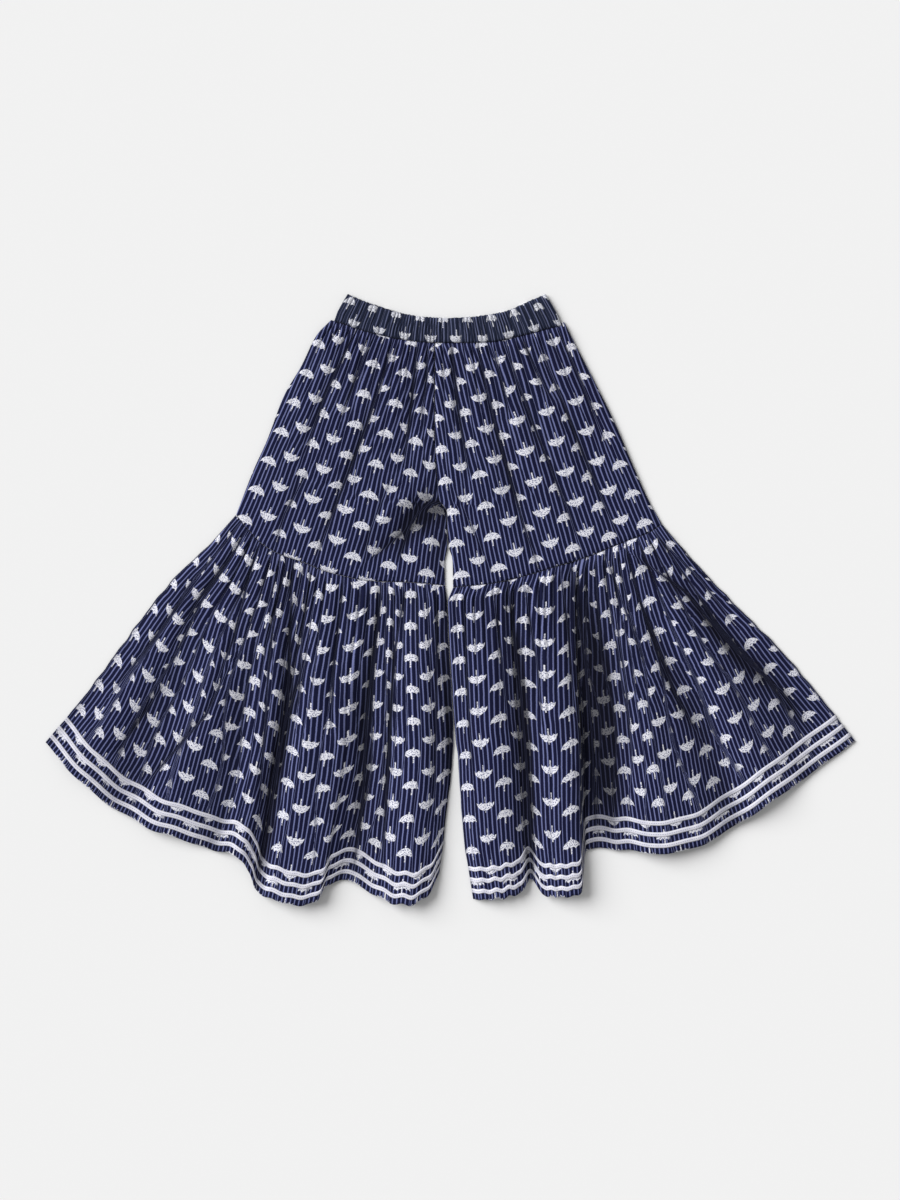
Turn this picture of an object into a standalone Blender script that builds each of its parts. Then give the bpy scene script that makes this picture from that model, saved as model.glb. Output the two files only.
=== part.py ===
"""Child's sharara trousers, laid flat on a surface.

Two wide legs hang from a ruched elastic waistband. Each leg is an upper panel, front and back,
and a full flounce gathered into the seam at the knee. Three narrow tapes run along each front
hem. Every piece of cloth is a wall: it starts as a flat slab, one unit square, and is laid along
the piece's own four seams and over its own folds.

Left and right are those of someone looking down at the garment, waist at +Y, floor at Z = 0.
All sizes are in millimetres until the points are written to a mesh.
"""

from collections import namedtuple
from functools import partial
from math import pi

import bpy
import numpy as np

# Cloth and seams
MM = 0.001
WALL = 1.2
BAND_WALL_FRONT = 3.0
BAND_WALL_BACK = 2.4
TAPE_WALL = 1.0
SEAM_EASE = 0.22
LAYER_GAP = 0.3
TAPE_GAP = 0.45
STEEPEST = 2.0

# Heights of the front layer's underside
FRONT_REST = WALL + LAYER_GAP
BAND_REST = BAND_WALL_BACK + LAYER_GAP
WAIST_LIFT = 1.5
KNEE_LIFT = 2.6

# Gathers
RUCHES = 28
RUCHE_HEIGHT = 1.3
WAIST_RIPPLES = 9
WAIST_RIPPLE_HEIGHT = 1.5
KNEE_GATHERS = 18
KNEE_GATHER_HEIGHT = 2.6
KNEE_GATHER_REACH = 0.22

# How far the back pieces stay inside the front ones, as shares of their width and length
HIDDEN_EDGE = 0.005
HIDDEN_HEM = 0.015

# Tapes
TAPE_WIDTH = 4.6
TAPE_PITCH = 11.7
LOWEST_TAPE = 9.0

# Mesh fineness
FLOUNCE_COLUMNS = 72
FLOUNCE_ROWS = 11
LEG_COLUMNS = 36
LEG_ROWS = 9
BAND_COLUMNS = 56
BACK_COLUMNS = 20

Point = namedtuple("Point", "x y")
Fold = namedtuple("Fold", "place share hem_x hem_y lift")
Crease = namedtuple("Crease", "place top foot start end width depth")

# Seams that both halves of the waist share
WAIST_TOP = [
    Point(-107, 319), Point(-88, 311), Point(-67, 304), Point(-46, 298), Point(-25, 295),
    Point(-2, 294), Point(21, 295), Point(37, 297), Point(58, 301), Point(79, 310),
    Point(100, 319),
]
WAIST_SEAM = [
    Point(-121, 294), Point(-101, 285), Point(-77, 278), Point(-48, 272), Point(-16, 269),
    Point(16, 269), Point(43, 270), Point(73, 276), Point(103, 284), Point(117, 289),
]
CENTRE_SEAM = [Point(-16, 181), Point(-14, 132), Point(-11, 104)]

# Left leg, from the side seam in to the inseam
LEFT_WAIST = [
    Point(-124, 292), Point(-101, 285), Point(-77, 278), Point(-48, 272), Point(-16, 269),
]
LEFT_SIDE = [
    Point(-139, 276), Point(-155, 244), Point(-173, 213), Point(-191, 166), Point(-205, 135),
]
LEFT_INSEAM = [Point(-9, 92), Point(-5, 49)]
LEFT_KNEE = [
    Point(-223, 89), Point(-210, 73), Point(-194, 57), Point(-178, 48), Point(-152, 39),
    Point(-133, 31), Point(-111, 25), Point(-85, 20), Point(-37, 18), Point(-5, 15),
]
LEFT_FLARE = [
    Point(-252, 57), Point(-285, 26), Point(-311, -5), Point(-346, -52), Point(-381, -99),
]
LEFT_INNER = [
    Point(-4, 0), Point(-2, -21), Point(-1, -104), Point(-1, -192), Point(-4, -224),
    Point(-7, -255),
]

# Right leg, from the inseam out to the side seam
RIGHT_WAIST = [
    Point(-16, 269), Point(16, 269), Point(43, 270), Point(73, 276), Point(103, 284),
    Point(119, 290),
]
RIGHT_INSEAM = [Point(-4, 94), Point(-1, 73), Point(2, 49)]
RIGHT_SIDE = [
    Point(134, 260), Point(150, 229), Point(173, 182), Point(193, 135), Point(207, 104),
]
RIGHT_KNEE = [
    Point(3, 13), Point(42, 17), Point(66, 22), Point(89, 28), Point(114, 36),
    Point(141, 44), Point(159, 51), Point(186, 62), Point(207, 70), Point(221, 79),
]
RIGHT_INNER = [
    Point(1, -4), Point(1, -21), Point(3, -104), Point(6, -168), Point(11, -208),
    Point(15, -255), Point(20, -286),
]
RIGHT_FLARE = [
    Point(240, 57), Point(268, 26), Point(298, -5), Point(345, -52), Point(385, -99),
]

# Folds of the flounces: share is the place across the knee seam, lift the height at the hem
LEFT_FOLDS = [
    Fold("side seam", 0.00, -422, -148, 0.0),
    Fold("outer roll", 0.05, -389, -185, 4.5),
    Fold("outer valley", 0.10, -353, -215, 1.0),
    Fold("second roll", 0.17, -304, -241, 6.5),
    Fold("long valley", 0.26, -247, -260, 0.8),
    Fold("narrow roll", 0.33, -220, -269, 7.5),
    Fold("step of the narrow roll", 0.385, -208, -284, 4.0),
    Fold("tuck", 0.41, -203, -301, 1.5),
    Fold("broad roll, near edge", 0.46, -188, -311, 8.5),
    Fold("broad roll", 0.53, -163, -317, 11.0),
    Fold("broad roll, far edge", 0.61, -137, -312, 9.5),
    Fold("valley's near wall", 0.66, -128, -297, 4.0),
    Fold("middle valley", 0.71, -110, -292, 0.8),
    Fold("valley's far wall", 0.77, -80, -306, 4.5),
    Fold("inner roll, near edge", 0.82, -61, -315, 9.5),
    Fold("inner roll", 0.88, -42, -317, 12.0),
    Fold("inner roll, far edge", 0.94, -23, -307, 8.0),
    Fold("inseam", 1.00, -11, -284, 0.0),
]
RIGHT_FOLDS = [
    Fold("inseam", 0.00, 24, -312, 0.0),
    Fold("inner roll, near edge", 0.06, 36, -312, 7.0),
    Fold("inner roll", 0.15, 55, -310, 9.5),
    Fold("inner roll, far edge", 0.25, 74, -304, 6.5),
    Fold("narrow valley", 0.31, 86, -292, 0.8),
    Fold("tall roll, near edge", 0.36, 97, -306, 8.0),
    Fold("tall roll", 0.45, 113, -310, 12.5),
    Fold("tall roll, far edge", 0.53, 130, -304, 12.0),
    Fold("tall roll's drop", 0.57, 138, -288, 7.5),
    Fold("foot of the drop", 0.60, 145, -262, 1.6),
    Fold("broad valley", 0.65, 166, -259, 0.8),
    Fold("outer roll, near edge", 0.71, 194, -262, 6.0),
    Fold("outer roll", 0.76, 222, -264, 9.0),
    Fold("outer roll, far edge", 0.81, 259, -256, 5.5),
    Fold("outer valley", 0.85, 294, -237, 1.0),
    Fold("last roll", 0.90, 333, -211, 6.0),
    Fold("last valley", 0.95, 376, -181, 1.0),
    Fold("side seam", 1.00, 423, -147, 0.0),
]

# Soft creases of the upper panels: top and foot are shares of the waist and of the knee seam
LEFT_CREASES = [
    Crease("long, to the knee", 0.54, 0.28, 0.10, 1.00, 0.060, 3.2),
    Crease("short, by the centre", 0.86, 0.80, 0.02, 0.50, 0.045, 2.4),
    Crease("short, by the side", 0.22, 0.14, 0.05, 0.60, 0.050, 2.0),
    Crease("tuck at the crotch", 0.98, 0.62, 0.55, 1.00, 0.070, 2.8),
]
RIGHT_CREASES = [
    Crease("short, by the centre", 0.12, 0.14, 0.02, 0.55, 0.045, 2.4),
    Crease("long, to the knee", 0.30, 0.42, 0.05, 1.00, 0.055, 3.0),
    Crease("middle", 0.52, 0.60, 0.10, 0.85, 0.050, 2.6),
    Crease("outer", 0.72, 0.80, 0.05, 1.00, 0.050, 2.6),
    Crease("short, by the side", 0.88, 0.92, 0.10, 0.55, 0.040, 1.8),
]


def smooth(knots, values, at):
    """Cubic through the knots that never overshoots between two of them."""
    knots = np.asarray(knots, float)
    values = np.asarray(values, float)
    step = np.diff(knots)
    rise = np.diff(values) / step
    product = rise[:-1] * rise[1:]
    total = np.where(product > 0, rise[:-1] + rise[1:], 1.0)
    slope = np.concatenate(
        [rise[:1], np.where(product > 0, 2 * product / total, 0.0), rise[-1:]]
    )
    cell = np.clip(np.searchsorted(knots, at, side="right") - 1, 0, len(step) - 1)
    u = (at - knots[cell]) / step[cell]
    start = (1 + 2 * u) * (1 - u) ** 2 * values[cell]
    end = u * u * (3 - 2 * u) * values[cell + 1]
    leave = u * (1 - u) ** 2 * step[cell] * slope[cell]
    arrive = u * u * (u - 1) * step[cell] * slope[cell + 1]
    return start + end + leave + arrive


def seam(points, at, shares=None):
    """Points at the given shares of a seam, which run by its length unless a share is stated."""
    x = np.array([point[0] for point in points], float)
    y = np.array([point[1] for point in points], float)
    if shares is None:
        length = np.concatenate([[0.0], np.cumsum(np.hypot(np.diff(x), np.diff(y)))])
        shares = length / length[-1]
    return np.stack([smooth(shares, x, at), smooth(shares, y, at)], axis=-1)


def hem_points(folds):
    return [Point(fold.hem_x, fold.hem_y) for fold in folds]


def plan(across, down, top, foot, left, right, foot_shares=None):
    """Plan of a piece between its four seams, eased a little inside each of them."""
    left_ends = [top[0], *left, foot[0]]
    right_ends = [top[-1], *right, foot[-1]]
    length = np.linalg.norm(seam(foot, across, foot_shares) - seam(top, across), axis=-1)
    width = np.linalg.norm(seam(right_ends, down) - seam(left_ends, down), axis=-1)
    s, t = np.meshgrid(across, down)
    s = s + (0.5 - s) * 2 * SEAM_EASE / width[:, None]
    t = t + (0.5 - t) * 2 * SEAM_EASE / length[None, :]
    s3, t3 = s[..., None], t[..., None]
    upper, lower = seam(top, s), seam(foot, s, foot_shares)
    near, far = seam(left_ends, t), seam(right_ends, t)
    corners = (
        (1 - s3) * (1 - t3) * np.array(top[0], float)
        + s3 * (1 - t3) * np.array(top[-1], float)
        + (1 - s3) * t3 * np.array(foot[0][:2], float)
        + s3 * t3 * np.array(foot[-1][:2], float)
    )
    return (1 - t3) * upper + t3 * lower + (1 - s3) * near + s3 * far - corners


def swell(t, start, end):
    """Rises from 0 at start to 1 at end, softly at both."""
    u = np.clip((t - start) / (end - start), 0.0, 1.0)
    return u * u * (3 - 2 * u)


def waves(s, count, uneven):
    """Gathers: count crests across the piece, some taller than others."""
    crest = 0.5 - 0.5 * np.cos(2 * pi * count * s)
    return crest * (1 - uneven + uneven * np.sin(2.3 * pi * count * s / 3 + 0.8) ** 2)


def knee_profile(s):
    return KNEE_LIFT * np.sin(pi * s) ** 0.6


def flounce_height(s, t, folds):
    shares = [fold.share for fold in folds]
    lifts = [fold.lift for fold in folds]
    rolls = smooth(shares, lifts, s) * swell(t, 0.0, 0.62)
    seam_part = knee_profile(s) * (1 - swell(t, 0.0, 0.62))
    onset = swell(t, 0.0, 0.07) * np.exp(-(np.maximum(t - 0.07, 0) / KNEE_GATHER_REACH))
    gathers = KNEE_GATHER_HEIGHT * waves(s, KNEE_GATHERS, 0.45) * onset
    return FRONT_REST + rolls + seam_part + gathers


def leg_height(s, t, creases):
    waist = WAIST_LIFT + 0.0 * s
    body = 1.2 + 3.4 * np.sin(pi * s) ** 0.7
    height = waist + (body - waist) * swell(t, 0.0, 0.35)
    height = height + (knee_profile(s) - height) * swell(t, 0.75, 1.0)
    for crease in creases:
        middle = crease.top + (crease.foot - crease.top) * t
        reach = swell(t, crease.start, crease.start + 0.15)
        reach = reach * (1 - swell(t, crease.end - 0.12, crease.end))
        height = height - crease.depth * reach * np.exp(-(((s - middle) / crease.width) ** 2))
    onset = swell(t, 0.0, 0.06) * np.exp(-(np.maximum(t - 0.06, 0) / 0.16))
    ripples = WAIST_RIPPLE_HEIGHT * waves(s, WAIST_RIPPLES, 0.4) * onset
    return FRONT_REST + np.maximum(height, 0.0) + ripples


def wall_over(under, thickness):
    """Outer points of a wall, as far above the inner ones as the slope asks."""
    along = np.gradient(under, axis=1)
    down = np.gradient(under, axis=0)
    normal = np.cross(along, down)
    slant = np.linalg.norm(normal, axis=-1) / np.abs(normal[..., 2])
    over = under.copy()
    over[..., 2] += thickness * np.minimum(slant, STEEPEST)
    return over


def material(name, colour, roughness):
    look = bpy.data.materials.new(name)
    look.use_nodes = True
    shader = look.node_tree.nodes["Principled BSDF"]
    shader.inputs["Base Color"].default_value = (*colour, 1.0)
    shader.inputs["Roughness"].default_value = roughness
    shader.inputs["Metallic"].default_value = 0.0
    return look


def cloth(name, under, over, look):
    """A flat slab, laid so that its two faces meet the inner and the outer points."""
    rows = under.shape[0] - 1
    columns = under.shape[1] - 1
    bpy.ops.mesh.primitive_grid_add(x_subdivisions=columns, y_subdivisions=rows, size=1)
    piece = bpy.context.object
    piece.name = name
    piece.data.name = name
    slab = piece.modifiers.new("Slab", "SOLIDIFY")
    slab.thickness = 1.0
    slab.offset = 1.0
    bpy.ops.object.modifier_apply(modifier=slab.name)
    for vertex in piece.data.vertices:
        column = round((vertex.co.x + 0.5) * columns)
        row = round((0.5 - vertex.co.y) * rows)
        face = over if vertex.co.z > 0.5 else under
        vertex.co = [value * MM for value in face[row, column]]
    piece.data.shade_smooth()
    piece.data.set_sharp_from_angle(angle=pi / 4)
    piece.data.materials.append(look)
    for holder in piece.users_collection:
        holder.objects.unlink(piece)
    garment.objects.link(piece)
    piece.parent = root
    return piece


def lay(flat, height):
    return np.concatenate([flat, height[..., None]], axis=-1)


def front_wall(name, flat_of, height_of, columns, rows, look):
    """A front piece, laid over its folds."""
    across = np.linspace(0, 1, columns + 1)
    down = np.linspace(0, 1, rows + 1)
    s, t = np.meshgrid(across, down)
    under = lay(flat_of(across, down), height_of(s, t))
    over = wall_over(under, WALL)
    cloth(name, under, over, look)
    return over


def back_wall(name, flat_of, across, down, rows, look):
    """A back piece, flat on the floor, over the stated stretches of its width and length."""
    flat = flat_of(np.linspace(*across, BACK_COLUMNS + 1), np.linspace(*down, rows + 1))
    floor = lay(flat, np.zeros(flat.shape[:2]))
    cloth(name, floor, wall_over(floor, WALL), look)


def tapes(side, over, look):
    """Three tapes along the hem, each made from the flounce's outer points, moved out."""
    rows = over.shape[0] - 1
    length = np.linalg.norm(np.diff(over, axis=0), axis=-1).sum(axis=0)
    columns = np.arange(over.shape[1])
    for index, place in enumerate(("lower", "middle", "upper")):
        centre = LOWEST_TAPE + index * TAPE_PITCH
        edges = []
        for distance in (centre + TAPE_WIDTH / 2, centre - TAPE_WIDTH / 2):
            row = (1 - distance / length) * rows
            cell = np.minimum(row.astype(int), rows - 1)
            part = (row - cell)[:, None]
            edges.append(over[cell, columns] * (1 - part) + over[cell + 1, columns] * part)
        under = np.stack(edges)
        under[..., 2] += TAPE_GAP
        top = under.copy()
        top[..., 2] += TAPE_WALL
        cloth(f"tape_{side}_{place}", under, top, look)


def waistband(front_look, back_look):
    """The casing: plain inside, ruched outside, with the back half flat under the front."""
    across = np.linspace(0, 1, BAND_COLUMNS + 1)
    down = np.linspace(0, 1, 4)
    flat = plan(across, down, WAIST_TOP, WAIST_SEAM, [], [])
    s, t = np.meshgrid(across, down)
    under = lay(flat, np.full(s.shape, BAND_REST))
    over = under.copy()
    crest = waves(s, RUCHES, 0.35) * (0.55 + 0.45 * np.sin(pi * t))
    over[..., 2] += BAND_WALL_FRONT - RUCHE_HEIGHT + RUCHE_HEIGHT * crest
    cloth("waistband_front", under, over, front_look)
    across = np.linspace(HIDDEN_EDGE, 1 - HIDDEN_EDGE, BACK_COLUMNS + 1)
    flat = plan(across, np.linspace(0, 1, 3), WAIST_TOP, WAIST_SEAM, [], [])
    floor = lay(flat, np.zeros(flat.shape[:2]))
    top = floor.copy()
    top[..., 2] += BAND_WALL_BACK
    cloth("waistband_back", floor, top, back_look)


for leftover in list(bpy.data.objects):
    bpy.data.objects.remove(leftover, do_unlink=True)

garment = bpy.data.collections.new("sharara_trousers")
bpy.context.scene.collection.children.link(garment)
root = bpy.data.objects.new("garment", None)
garment.objects.link(root)

navy = material("navy print", (0.020, 0.022, 0.085), 0.85)
navy_back = material("navy print, back", (0.014, 0.016, 0.060), 0.88)
casing = material("casing", (0.035, 0.037, 0.100), 0.85)
white_tape = material("white tape", (0.80, 0.80, 0.82), 0.75)

waistband(casing, navy_back)

leg_cuts = {
    "left": (LEFT_WAIST, LEFT_KNEE, LEFT_SIDE, [*CENTRE_SEAM, *LEFT_INSEAM]),
    "right": (RIGHT_WAIST, RIGHT_KNEE, [*CENTRE_SEAM, *RIGHT_INSEAM], RIGHT_SIDE),
}
leg_creases = {"left": LEFT_CREASES, "right": RIGHT_CREASES}
back_stretch = {"left": (HIDDEN_EDGE, 1.0), "right": (0.0, 1 - HIDDEN_EDGE)}
for side, (top, foot, near, far) in leg_cuts.items():
    flat_of = partial(plan, top=top, foot=foot, left=near, right=far)
    height_of = partial(leg_height, creases=leg_creases[side])
    front_wall(f"leg_front_{side}", flat_of, height_of, LEG_COLUMNS, LEG_ROWS, navy)
    back_wall(f"leg_back_{side}", flat_of, back_stretch[side], (0, 1), LEG_ROWS, navy_back)

flounce_cuts = {
    "left": (LEFT_KNEE, LEFT_FOLDS, LEFT_FLARE, LEFT_INNER),
    "right": (RIGHT_KNEE, RIGHT_FOLDS, RIGHT_INNER, RIGHT_FLARE),
}
hidden_width = (HIDDEN_EDGE, 1 - HIDDEN_EDGE)
hidden_length = (0, 1 - HIDDEN_HEM)
for side, (top, folds, near, far) in flounce_cuts.items():
    hem = hem_points(folds)
    shares = [fold.share for fold in folds]
    flat_of = partial(plan, top=top, foot=hem, left=near, right=far, foot_shares=shares)
    height_of = partial(flounce_height, folds=folds)
    name = f"flounce_front_{side}"
    over = front_wall(name, flat_of, height_of, FLOUNCE_COLUMNS, FLOUNCE_ROWS, navy)
    name = f"flounce_back_{side}"
    back_wall(name, flat_of, hidden_width, hidden_length, FLOUNCE_ROWS, navy_back)
    tapes(side, over, white_tape)
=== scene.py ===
# %% [markdown]
# # Sharara trousers, laid flat
#
# A child's sharara trousers lie on a pale surface, seen from straight above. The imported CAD
# model gives every piece its place and its size. This lesson dresses it: each wall of cloth is
# laid again with a much finer mesh, so that gathers, rolls and creases can be shaped one by one,
# and each gets a woven, printed cotton that follows the cloth and not the camera.

# %% Load the frame
from collections import namedtuple
from math import pi

import bpy
import numpy as np
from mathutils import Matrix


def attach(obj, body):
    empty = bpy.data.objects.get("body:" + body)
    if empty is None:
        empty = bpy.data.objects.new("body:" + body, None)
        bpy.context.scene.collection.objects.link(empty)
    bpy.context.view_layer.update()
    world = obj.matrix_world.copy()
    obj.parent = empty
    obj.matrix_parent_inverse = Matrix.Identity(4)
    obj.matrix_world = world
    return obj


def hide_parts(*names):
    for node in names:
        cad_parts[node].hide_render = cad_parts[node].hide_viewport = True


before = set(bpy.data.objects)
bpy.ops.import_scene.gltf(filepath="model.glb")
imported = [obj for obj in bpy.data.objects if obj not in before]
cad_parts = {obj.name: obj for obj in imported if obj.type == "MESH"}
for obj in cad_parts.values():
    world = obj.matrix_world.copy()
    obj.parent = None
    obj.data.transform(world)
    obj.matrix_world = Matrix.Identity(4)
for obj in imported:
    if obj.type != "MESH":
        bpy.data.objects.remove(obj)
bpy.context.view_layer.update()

MM = 0.001

# %% [markdown]
# ## Camera, light and surface
#
# The photo is a flat lay: the camera looks straight down, and one pixel is 1.04 mm at the cloth.
# A long lens keeps the folds from leaning outwards. The light is one soft sun from the upper left
# under a white sky, because the rolls of cloth are bright on their left slopes and shade off
# slowly into the valleys, and the garment throws only a faint, wide shadow.

# %% Camera
PIXEL = 1.04 * MM
FRAME_WIDTH, FRAME_HEIGHT = 900 * PIXEL, 1200 * PIXEL
LENS = 85.0
SENSOR = 36.0
camera_height = FRAME_HEIGHT * LENS / SENSOR + 0.008

camera = bpy.data.objects.new("camera", bpy.data.cameras.new("camera"))
camera.data.lens = LENS
camera.data.sensor_width = SENSOR
camera.data.clip_end = 20
camera.location = (0, 0, camera_height)
bpy.context.scene.collection.objects.link(camera)
bpy.context.scene.camera = camera
bpy.context.scene.view_settings.view_transform = "Standard"
bpy.context.scene.view_settings.look = "None"
print("camera", round(camera_height, 3), "m above the surface")

# %% Light and surface
SUN_FROM = (-1.9, 1.0, 1.5)
SUN_SPREAD = 0.80
SUN_STRENGTH = 3.60
SKY_STRENGTH = 0.37
PAPER = (0.86, 0.86, 0.86, 1.0)

sun = bpy.data.objects.new("key", bpy.data.lights.new("key", "SUN"))
sun.data.angle = SUN_SPREAD
sun.data.energy = SUN_STRENGTH
sun.location = SUN_FROM
sun.rotation_euler = (-sun.location).to_track_quat("-Z", "Y").to_euler()
bpy.context.scene.collection.objects.link(sun)

world = bpy.data.worlds.new("studio")
world.use_nodes = True
world.node_tree.nodes["Background"].inputs["Color"].default_value = (1.0, 1.0, 1.0, 1.0)
world.node_tree.nodes["Background"].inputs["Strength"].default_value = SKY_STRENGTH
bpy.context.scene.world = world

bpy.ops.object.select_all(action="DESELECT")
bpy.ops.mesh.primitive_plane_add(size=12, location=(0, 0, 0))
surface = bpy.context.object
surface.name = "surface"
paper = bpy.data.materials.new("pale_surface")
paper.use_nodes = True
finish = paper.node_tree.nodes["Principled BSDF"].inputs
finish["Base Color"].default_value = PAPER
finish["Roughness"].default_value = 0.9
finish["Specular IOR Level"].default_value = 0.1
surface.data.materials.append(paper)
print("lights and surface set")

# %% [markdown]
# ## The cut
#
# The seams are the same as the CAD model's, in millimetres, with the waist at +Y. A table row is
# a point of a seam, or one fold of a flounce with its place across the knee seam, the point where
# it meets the hem, and how high it stands there.

# %% Seams
Point = namedtuple("Point", "x y")
Fold = namedtuple("Fold", "place share hem_x hem_y lift")

WAIST_TOP = [
    Point(-107, 319), Point(-88, 311), Point(-67, 304), Point(-46, 298), Point(-25, 295),
    Point(-2, 294), Point(21, 295), Point(37, 297), Point(58, 301), Point(79, 310),
    Point(100, 319),
]
WAIST_SEAM = [
    Point(-121, 294), Point(-101, 285), Point(-77, 278), Point(-48, 272), Point(-16, 269),
    Point(16, 269), Point(43, 270), Point(73, 276), Point(103, 284), Point(117, 289),
]
CENTRE_SEAM = [Point(-16, 181), Point(-14, 132), Point(-11, 104)]

LEFT_WAIST = [Point(-124, 292), *WAIST_SEAM[1:5]]
LEFT_SIDE = [
    Point(-139, 276), Point(-155, 244), Point(-173, 213), Point(-191, 166), Point(-205, 135),
]
LEFT_INSEAM = [Point(-3.6, 92), Point(-2.9, 73), Point(-2.7, 55), Point(-5.4, 38)]
LEFT_KNEE = [
    Point(-223, 89), Point(-210, 73), Point(-194, 57), Point(-178, 48), Point(-152, 39),
    Point(-133, 31), Point(-111, 25), Point(-85, 20), Point(-37, 18), Point(-5, 15),
]
LEFT_FLARE = [
    Point(-252, 57), Point(-285, 26), Point(-311, -5), Point(-346, -52), Point(-381, -99),
]
LEFT_INNER = [
    Point(-2.9, -2), Point(-1.9, -35), Point(1.0, -82), Point(2.5, -110), Point(3.6, -137),
    Point(2.6, -166), Point(-0.4, -196), Point(-4, -224), Point(-7, -255),
]
RIGHT_WAIST = [*WAIST_SEAM[4:9], Point(119, 290)]
RIGHT_INSEAM = [Point(-3.2, 92), Point(-2.5, 73), Point(-1.9, 57), Point(2.4, 42)]
RIGHT_SIDE = [
    Point(134, 260), Point(150, 229), Point(173, 182), Point(193, 135), Point(207, 104),
]
RIGHT_KNEE = [
    Point(3, 13), Point(42, 17), Point(66, 22), Point(89, 28), Point(114, 36),
    Point(141, 44), Point(159, 51), Point(186, 62), Point(207, 70), Point(221, 79),
]
RIGHT_INNER = [
    Point(-2.4, -3), Point(-1.4, -35), Point(1.5, -82), Point(3.1, -110), Point(5.0, -137),
    Point(8.2, -166), Point(11, -208), Point(15, -255), Point(20, -286),
]
RIGHT_FLARE = [
    Point(240, 57), Point(268, 26), Point(298, -5), Point(345, -52), Point(385, -99),
]

# %% Folds of the flounces
LEFT_FOLDS = [
    Fold("side seam", 0.00, -422, -148, 0.0),
    Fold("outer roll", 0.05, -389, -185, 6.0),
    Fold("outer valley", 0.10, -353, -215, 1.0),
    Fold("second roll", 0.17, -304, -241, 8.0),
    Fold("long valley", 0.26, -247, -260, 0.8),
    Fold("narrow roll", 0.33, -220, -269, 7.5),
    Fold("step of the narrow roll", 0.385, -208, -284, 4.0),
    Fold("tuck", 0.41, -203, -301, 1.5),
    Fold("broad roll, near edge", 0.46, -188, -311, 8.5),
    Fold("broad roll", 0.53, -163, -317, 11.0),
    Fold("broad roll, far edge", 0.61, -137, -312, 9.5),
    Fold("valley's near wall", 0.66, -128, -297, 4.0),
    Fold("middle valley", 0.71, -110, -292, 0.8),
    Fold("valley's far wall", 0.77, -80, -306, 4.5),
    Fold("inner roll, near edge", 0.82, -61, -315, 9.5),
    Fold("inner roll", 0.88, -42, -317, 12.0),
    Fold("inner roll, far edge", 0.94, -23, -307, 8.0),
    Fold("inseam", 1.00, -11, -284, 0.0),
]
RIGHT_FOLDS = [
    Fold("inseam", 0.00, 24, -312, 0.0),
    Fold("inner roll, near edge", 0.06, 36, -312, 7.0),
    Fold("inner roll", 0.15, 55, -310, 9.5),
    Fold("inner roll, far edge", 0.25, 74, -304, 6.5),
    Fold("narrow valley", 0.31, 86, -292, 0.8),
    Fold("tall roll, near edge", 0.36, 97, -306, 5.5),
    Fold("tall roll", 0.45, 113, -310, 10.5),
    Fold("tall roll, far edge", 0.53, 130, -306, 13.2),
    Fold("brink of the drop", 0.565, 137, -302, 11.5),
    Fold("tall roll's drop", 0.585, 139, -284, 4.5),
    Fold("foot of the drop", 0.605, 142, -262, 1.0),
    Fold("broad valley", 0.65, 166, -259, 0.8),
    Fold("outer roll, near edge", 0.71, 194, -262, 6.0),
    Fold("outer roll", 0.76, 222, -264, 11.0),
    Fold("outer roll, far edge", 0.81, 259, -256, 8.0),
    Fold("outer valley", 0.85, 294, -237, 3.5),
    Fold("last roll", 0.90, 333, -211, 10.0),
    Fold("last valley", 0.95, 376, -181, 1.0),
    Fold("side seam", 1.00, 423, -147, 0.0),
]


def hem_of(folds):
    """The points of a hem, and their shares of its cloth."""
    return [Point(fold.hem_x, fold.hem_y) for fold in folds], [fold.share for fold in folds]


print(len(LEFT_FOLDS) + len(RIGHT_FOLDS), "rows of folds")

# %% [markdown]
# ## Smooth seams and the plan of a piece
#
# A seam runs through its rows as a cubic that never overshoots, so a hem with a step in it stays
# a step and doesn't ring. A piece is then blended between its four seams, as a tailor's paper
# pattern is filled in between its edges.

# %% Plan of a piece
SEAM_EASE = 0.22


def smooth(knots, values, at):
    knots = np.asarray(knots, float)
    values = np.asarray(values, float)
    step = np.diff(knots)
    rise = np.diff(values) / step
    product = rise[:-1] * rise[1:]
    total = np.where(product > 0, rise[:-1] + rise[1:], 1.0)
    slope = np.concatenate(
        [rise[:1], np.where(product > 0, 2 * product / total, 0.0), rise[-1:]]
    )
    cell = np.clip(np.searchsorted(knots, at, side="right") - 1, 0, len(step) - 1)
    u = (at - knots[cell]) / step[cell]
    start = (1 + 2 * u) * (1 - u) ** 2 * values[cell]
    end = u * u * (3 - 2 * u) * values[cell + 1]
    leave = u * (1 - u) ** 2 * step[cell] * slope[cell]
    arrive = u * u * (u - 1) * step[cell] * slope[cell + 1]
    return start + end + leave + arrive


def seam(points, at, shares=None):
    x = np.array([point[0] for point in points], float)
    y = np.array([point[1] for point in points], float)
    if shares is None:
        length = np.concatenate([[0.0], np.cumsum(np.hypot(np.diff(x), np.diff(y)))])
        shares = length / length[-1]
    return np.stack([smooth(shares, x, at), smooth(shares, y, at)], axis=-1)


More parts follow.
